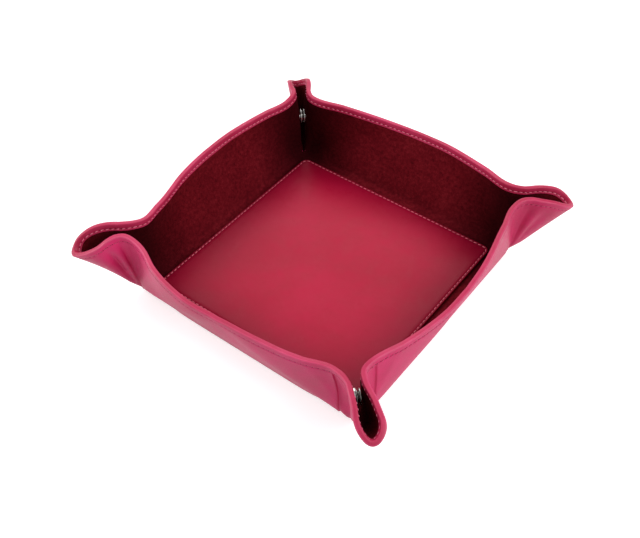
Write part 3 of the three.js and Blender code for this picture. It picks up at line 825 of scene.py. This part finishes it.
def wall_lining_grid(wall, depth, floor_z):
    """Points of one face of a wall's lining: a strip of the floor, a soft fillet in the
    inner corner, and the wall's face up to under the hem. The fillet is a quadratic curve
    whose middle control point is where the floor's plane meets the wall's."""
    lean = math.radians(LEAN[wall])
    aside = FLOOR_HALF - np.abs(wall_x(FLOOR_STRIP))
    wall_depth = depth * np.minimum(1, aside / INNER_TAPER)
    rise = floor_z - HALF_THICK
    grown = np.maximum((rise - wall_depth * math.sin(lean)) / math.cos(lean), 0) + FILLET_RISE
    inset = -(math.sin(lean) * rise - wall_depth) / math.cos(lean)
    rows = [
        level_point(wall, wall_x(inside), inside, floor_z)
        for inside in (FLOOR_STRIP, 3.6)
    ]
    for t in np.linspace(0, 1, 9):
        x = wall_x(between(FILLET_START, CORNER_LINING, t))
        first = level_point(wall, x, FILLET_START, floor_z)
        first = first + foot_lift(wall, x, FILLET_START, FLOOR_STRIP)
        control = level_point(wall, x, inset, floor_z) + foot_lift(wall, x, 0.0, 1.0)
        last = wall_point(wall, x, grown, depth)
        rows.append((1 - t) ** 2 * first + 2 * t * (1 - t) * control + t * t * last)
    top = WALL_HEIGHT - LINING_TOP
    for part in np.linspace(0, 1, 32)[1:]:
        height = between(grown, top, part)
        reach = np.maximum(crease_reach(height), CORNER_LINING * (1 - part))
        x = wall_x(reach)
        rows.append(wall_point(wall, x, height, depth - tuck(height, top)))
    return np.stack(rows)


def wall_lining(wall):
    """The suede on the inside of one wall."""
    faces = [wall_lining_grid(wall, *pair) for pair in zip(LINING_DEPTHS, BASE_LINING)]
    return thick_sheet(f"wall_suede_{wall}", *faces, [SUEDE])


def ear_lining(wall, end):
    """The suede inside half an ear; low down its start is tucked under the wall's lining."""
    angles, extra, keep = ear_columns(wall, end)
    top = rim_reach(angles) - LINING_TOP
    reach = between(CORNER_LINING, top, np.linspace(0, 1, 34)[:, None])
    angle = past_tip(angles, extra, reach)
    angle = angle - 8 * (1 - smooth(reach, 3, 14)) * (1 - smooth(angles, 86, 90))
    kept = np.where(keep < 1, 0.8, 1.0)
    faces = [
        sheet_point(wall, end, angle, reach, (depth - tuck(reach, top)) * kept)
        for depth in LINING_DEPTHS
    ]
    return thick_sheet(f"ear_suede_{half_name(wall, end)}", *faces, [SUEDE])


def wall_board(wall):
    """The stiffening board inside one wall, following its curve."""
    x = np.linspace(-BOARD_END, BOARD_END, 90)
    height = np.linspace(*BOARD_SPAN, 30)[:, None]
    faces = (wall_point(wall, x, height, depth) for depth in BOARD_FACES)
    return thick_sheet(f"wall_stiffener_{wall}", *faces, [BOARD])


# ---- Floor ----


def plate_grid(half, z, count=24):
    """A level square grid."""
    side = np.linspace(-half, half, count)
    return np.stack([*np.meshgrid(side, side, indexing="ij"), np.full((count, count), z)], -1)


def rounded_square(half, corner, z):
    """Points round a square with round corners, counterclockwise."""
    turn = np.radians(np.linspace(0, 90, 9))
    side = np.linspace(0, 1, 26)[1:-1]
    inner = half - corner
    bend = np.stack([inner + corner * np.cos(turn), inner + corner * np.sin(turn)], -1)
    edge = np.stack([between(inner, -inner, side), half + 0 * side], -1)
    spins = [np.array([[c, s], [-s, c]]) for c, s in ((1, 0), (0, 1), (-1, 0), (0, -1))]
    ring = join([part @ spin for spin in spins for part in (bend, edge)])
    return join([ring, np.full((len(ring), 1), z)], 1)


def floor_panel():
    """The smooth leather panel: a cut edge with rounded lips, a furrow under the stitches and
    a flat middle, as rings set in from the edge at given heights."""
    low, high = PANEL_BOTTOM, PANEL_TOP
    section = [
        (40, low), (1.5, low), (0.3, low), (0.05, low + 0.2), (0, low + 0.6),
        (0.05, high - 0.45), (0.2, high - 0.2), (0.45, high - 0.06), (0.75, high - 0.05),
        (0.95, high - 0.14), (1.15, high - 0.24), (1.4, high - 0.28), (1.65, high - 0.23),
        (1.9, high - 0.13), (2.3, high - 0.03), (3.0, high + 0.05), (4.2, high + 0.06),
        (6.0, high + 0.03), (9.0, high), (20, high), (45, high), (72, high),
    ]
    rings = [rounded_square(PANEL_HALF - i, max(PANEL_CORNER - i, 0.4), z) for i, z in section]
    return make_piece("floor_panel_leather", *ringed(np.stack(rings)), [PANEL])


# ---- Stitching ----

THREAD_SIDES = 7
THREAD_RINGS = 7
HOLE_SIZE = (0.46, 0.4, 0.07)  # half widths of a needle hole, a small dark lens that paints the shade inside the hole


def stitch_shape():
    """A stitch along x: radius ~ sqrt(1 - 0.9 p^4), height 0.1 - 0.34 p^4, p from -1 to 1."""
    place = np.linspace(-1, 1, THREAD_RINGS)[:, None]
    radius = THREAD_RADIUS * np.sqrt(1 - 0.9 * place**4)
    turn = np.linspace(0, 2 * math.pi, THREAD_SIDES, endpoint=False)
    up = 0.1 - 0.34 * place**4 + 0.8 * radius * np.sin(turn)
    lying = place * STITCH_LENGTH / 2 + 0 * turn
    return ringed(np.stack([lying, radius * np.cos(turn), up], -1))


def set_out(shape, centre, along, normal, slant):
    """Copies of a shape, each turned so that its x follows along and its z the normal."""
    points, faces = shape
    normal = unit(normal)
    side = unit(np.cross(normal, along))
    along = np.cross(side, normal)
    turned = math.cos(slant) * along + math.sin(slant) * side
    side = np.cross(normal, turned)
    axes = np.stack([turned, side, normal], 1)
    placed = centre[:, None, :] + np.einsum("pk,nkc->npc", points, axes)
    shift = (np.arange(len(centre)) * len(points))[:, None, None]
    faces = [(group[None] + shift).reshape(-1, group.shape[1]) for group in faces]
    return placed.reshape(-1, 3), faces


def seam(name, runs, threads):
    """Runs of stitches and the holes between them, each with its own thread, from its length
    and two functions of distance: the place on the stitch line, and the way the thread stands."""
    points, groups, marks = [], [], []
    for order, (length, point, away) in enumerate(runs, 1):
        count = max(1, round(length / STITCH_PITCH))
        pitch = length / count
        for shape, place, mark, slant in (
            (stitch_shape(), (np.arange(count) + 0.5) * pitch, order, 0.1),
            (ringed(lens(HOLE_SIZE, 70, 4, 8)), np.arange(count) * pitch + 0.02, 0, 0.0),
        ):
            along = unit(point(place + 0.05) - point(place - 0.05))
            placed, faces = set_out(shape, point(place), along, away(place), slant)
            first = sum(len(earlier) for earlier in points)
            points.append(placed)
            groups += [group + first for group in faces]
            marks += [np.full(len(group), mark) for group in faces]
    return make_piece(name, join(points), groups, [HOLE_SHADE, *threads], join(marks))


def path_by_length(points):
    """A polyline's length, and its points as a function of the distance along it."""
    steps = np.linalg.norm(np.diff(points, axis=0), axis=1)
    run = join([[0.0], np.cumsum(steps)])
    return run[-1], lambda distance: table_at(distance, run, points)


def rim_seam(name, line):
    """Stitches along a rim, outside and on the hem: line(depth, drop) gives the polyline at a
    depth in the sheet and a drop below the rim."""
    runs = []
    for side, drop in ((-1, OUTER_STITCH), (1, INNER_STITCH)):
        bed = side * (HALF_THICK - GROOVE_DEPTH)
        length, low = path_by_length(line(bed, drop))
        _, high = path_by_length(line(bed + side, drop))
        runs.append((length, low, lambda d, low=low, high=high: high(d) - low(d)))
    return seam(name, runs, [OUTER_THREAD, HEM_THREAD])


def wall_seam(wall):
    """The stitches along a wall's rim."""

    def line(depth, drop):
        height = WALL_HEIGHT - drop
        half = FLOOR_HALF - crease_reach(height)
        return wall_point(wall, np.linspace(-half, half, 240), height, depth)

    return rim_seam(f"rim_stitches_{wall}", line)


def ear_seam(wall, end):
    """The stitches along half an ear's rim."""

    def line(depth, drop):
        angles = np.linspace(EAR_START, EAR_END, 120)
        return sheet_point(wall, end, angles, rim_reach(angles) - drop, depth)

    return rim_seam(f"ear_stitches_{half_name(wall, end)}", line)


def panel_seam():
    """The stitches round the floor panel, in its furrow."""
    half, corner = PANEL_HALF - PANEL_STITCH, PANEL_CORNER - PANEL_STITCH
    ring = rounded_square(half, corner, PANEL_TOP - 0.27)
    length, point = path_by_length(join([ring, ring[:1]]))
    run = (length, lambda d: point(np.mod(d, length)), lambda d: np.tile(UP, (len(d), 1)))
    return seam("panel_stitches", [run], [PANEL_THREAD])


# ---- Press studs ----

SNAP_SIDES = 56
# Sections of the turned parts, as (radius, distance from the plane between stud and socket).
SOCKET_SECTION = [
    (0.2, 1.1), (1.5, 1.1), (1.9, 1.06), (2, 0.95), (2, 0.2), (2.02, -0.2), (2.1, -0.33),
    (2.3, -0.38), (2.9, -0.36), (3.15, -0.26), (3.25, -0.05), (3.27, 0.3), (3.35, 0.62),
    (3.6, 0.72), (4.4, 0.74), (4.8, 0.78), (4.96, 0.88), (5, 1.04), (4.96, 1.2),
    (4.8, 1.34), (4.4, 1.42), (3.3, 1.56), (0.2, 1.58),
]
STUD_SECTION = [
    (0.2, -0.92), (0.9, -0.9), (1.3, -0.82), (1.58, -0.64), (1.68, -0.4), (1.66, -0.15),
    (1.52, 0.15), (1.46, 0.5), (1.5, 0.66), (1.72, 0.72), (2.4, 0.73), (3.6, 0.72), (4.5, 0.72),
    (4.84, 0.76), (4.97, 0.88), (5, 1.02), (4.97, 1.18), (4.84, 1.32), (4.4, 1.42),
    (3.3, 1.56), (0.2, 1.58),
]


SIDES = [(wall, end) for wall in WALLS for end in (-1, 1)]


def snap_part(name, wall, end, section):
    """A turned part: its section swept round the axis that crosses the ear."""
    across, outward, corner = corner_axes(wall, end)
    rise = math.radians(NECK_RISE)
    centre = corner + SNAP_REACH * (math.cos(rise) * outward + math.sin(rise) * UP)
    neck = np.array([EAR_START]), np.array([SNAP_REACH])
    pair = [half for half in SIDES if corner_name(*half) == corner_name(wall, end)]
    centre = centre + np.mean([sway(*half, *neck)[0] for half in pair], axis=0)
    turn = np.linspace(0, 2 * math.pi, SNAP_SIDES, endpoint=False)
    radius, height = np.array(section).T
    circle = np.cos(turn)[:, None] * outward + np.sin(turn)[:, None] * UP
    rings = centre + radius[:, None, None] * circle + height[:, None, None] * across
    # Painted shade: the inner rings in the gap between stud and socket, and the pole of the first
    # ring, take the dark nickel.
    dull_or_shaded = (radius[:-1] < 3.5) & (radius[1:] < 3.65) & (height[:-1] < 1.0)
    marks = np.repeat([*dull_or_shaded, True, False], SNAP_SIDES)
    return make_piece(name, *ringed(rings), [NICKEL, SHADED_NICKEL], marks, sharp=38)


# ---- Putting the tray together ----


def point_m(point):
    """A point in millimetres as a tuple in metres."""
    return tuple(float(v) * MM for v in point)


def plate(name, half, heights, finish):
    """A level square sheet between two heights."""
    return thick_sheet(name, *(plate_grid(half, z) for z in heights), [finish])


def dress(node=None):
    """Hides the part of model.glb whose place a piece takes, if it has one."""
    if node:
        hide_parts(node)


def carry(piece, body, node=None):
    """The same for a piece that rides on one body."""
    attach(piece, body)
    dress(node)


def corner_bead(name, wall, end, inside, height, radius, finish):
    """The gathered point of the sheet, or of its lining, at a corner of the floor."""
    along, out = WALLS[wall]
    centre = (FLOOR_HALF - inside) * (out + end * along) + height * UP
    rings = centre + lens(radius, 80, 9, 16)
    return make_piece(f"{name}_{corner_name(wall, end)}", *ringed(rings), [finish])


for piece, node, slot in (
    (plate("base_skin", FLOOR_HALF - UNDER_STRIP, (0, 1), OUTER), "base_leather", "outer_leather"),
    (
        plate("floor_suede", FLOOR_HALF - FLOOR_STRIP, BASE_LINING, SUEDE),
        "base_lining",
        "suede_lining",
    ),
    (floor_panel(), "floor_panel", "panel_leather"),
    (panel_seam(), None, "panel_leather"),
):
    carry(piece, "base", node)

for wall, (along, out) in WALLS.items():
    body = f"wall_{wall}"
    fold = FLOOR_HALF * out + HALF_THICK * UP
    way = (out + UP) / math.sqrt(2)
    start, stop = point_m(fold - 1.2 * way), point_m(fold + 1.6 * way)
    for piece, node, slot in (
        (wall_skin(wall), f"wall_leather_{wall}", "outer_leather"),
        (wall_lining(wall), f"wall_lining_{wall}", "suede_lining"),
    ):
        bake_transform(piece)
        dress(node)
    carry(wall_board(wall), body, f"wall_board_{wall}")
    carry(wall_seam(wall), body)
    kind, section = ("stud", STUD_SECTION) if wall in STUD_WALLS else ("socket", SOCKET_SECTION)
    for end in (-1, 1):
        half, corner = half_name(wall, end), corner_name(wall, end)
        ear = f"ear_{half}"
        foot = sheet_point(wall, end, EAR_START, 0.0, 0.0)
        crease = sheet_point(wall, end, EAR_START, 40.0, 0.0) - foot
        beyond = sheet_point(wall, end, EAR_START + 1.0, 40.0, 0.0) - foot - crease
        across = unit(beyond - crease * (beyond @ crease) / (crease @ crease))
        start, stop = point_m(foot), point_m(foot + 2.5 * across)
        for piece, node, slot in (
            (ear_skin(wall, end), f"ear_leather_{half}", "outer_leather"),
            (ear_lining(wall, end), f"ear_lining_{half}", "suede_lining"),
            (ear_seam(wall, end), None, "outer_leather"),
        ):
            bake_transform(piece)
            dress(node)
        piece = snap_part(f"{kind}_metal_{corner}", wall, end, section)
        carry(piece, ear, f"snap_{kind}_{corner}")
        if wall in STUD_WALLS:  # once for each corner
            bead = corner_bead("corner", wall, end, 0.35, 1.2, 0.7, OUTER)
            carry(bead, "base")
            bead = corner_bead("corner_nap", wall, end, 1.35, 2.4, 1.75, SUEDE)
            carry(bead, "base")

for name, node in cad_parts.items():
    if name.startswith(("snap_post", "snap_cap")):
        node.material_slots[0].material = NICKEL
    elif "board" in name:
        node.material_slots[0].material = BOARD

# ---- Camera, floor and light ----


def look_at(thing, place, target):
    """Puts a camera or lamp at a place, turned to face the target, both in metres."""
    thing.location = place
    thing.rotation_euler = (Vector(target) - Vector(place)).to_track_quat("-Z", "Y").to_euler()
    scene.collection.objects.link(thing)
    return thing


AZIMUTH = math.radians(37.0)
ELEVATION = math.radians(46.58)
DISTANCE = 0.6029
TARGET = (-0.00426, -0.00198, 0.0)
level = math.cos(ELEVATION)
away = np.array([math.sin(AZIMUTH) * level, -math.cos(AZIMUTH) * level, math.sin(ELEVATION)])
optics = bpy.data.cameras.new("camera")
optics.sensor_width = 36
optics.lens = 52.03
camera = bpy.data.objects.new("camera", optics)
scene.camera = look_at(camera, np.array(TARGET) + away * DISTANCE, TARGET)

for name, place, size, power in (
    ("left", (-1.15, -0.55, 0.85), 1.0, 14.0),
    ("right", (1.15, 0.2, 1.0), 1.0, 14.0),
    ("back", (-0.6, 0.82, 1.0), 0.7, 7.0),
):
    light = bpy.data.lights.new(name, "AREA")
    light.size, light.energy = size, power
    look_at(bpy.data.objects.new(name, light), place, (0, 0, 0))

scene.world = bpy.data.worlds.new("tent")
scene.world.use_nodes = True
sky = scene.world.node_tree.nodes["Background"]
sky.inputs["Color"].default_value = (1, 1, 1, 1)
sky.inputs["Strength"].default_value = 0.42

PAPER_GLOW = 0.64


def white_floor():
    """A plain pale floor. Seen straight or in a reflection it also glows a little, so that
    lit paper is white and the tray's shadow stays."""
    finish = Finish("white_floor", Roughness=0.9)
    finish.shader.inputs["Base Color"].default_value = (0.66, 0.66, 0.66, 1)
    finish.shader.inputs["Emission Strength"].default_value = 1.0
    paths = finish.tree.nodes.new("ShaderNodeLightPath")
    rays = ("Is Camera Ray", "Is Glossy Ray", "Is Transmission Ray")
    seen, glossy, through = (Wire(finish, paths.outputs[ray]) for ray in rays)
    glow = (seen + glossy + through) * PAPER_GLOW
    grey = finish.node("CombineColor", {}, {0: glow, 1: glow, 2: glow})
    finish.feed("Emission Color", grey)
    return finish.material


def floor_sheet():
    """A level square of paper, four metres across, just under the tray."""
    points = plate_grid(2000.0, -0.05, 5).reshape(-1, 3)
    mesh = bpy.data.meshes.new("paper")
    mesh.from_pydata((points * MM).tolist(), [], quads(numbered(5, 5)).tolist())
    mesh.materials.append(white_floor())
    paper = bpy.data.objects.new("paper", mesh)
    scene.collection.objects.link(paper)
    return paper


floor_sheet()
scene.view_settings.view_transform = "Standard"
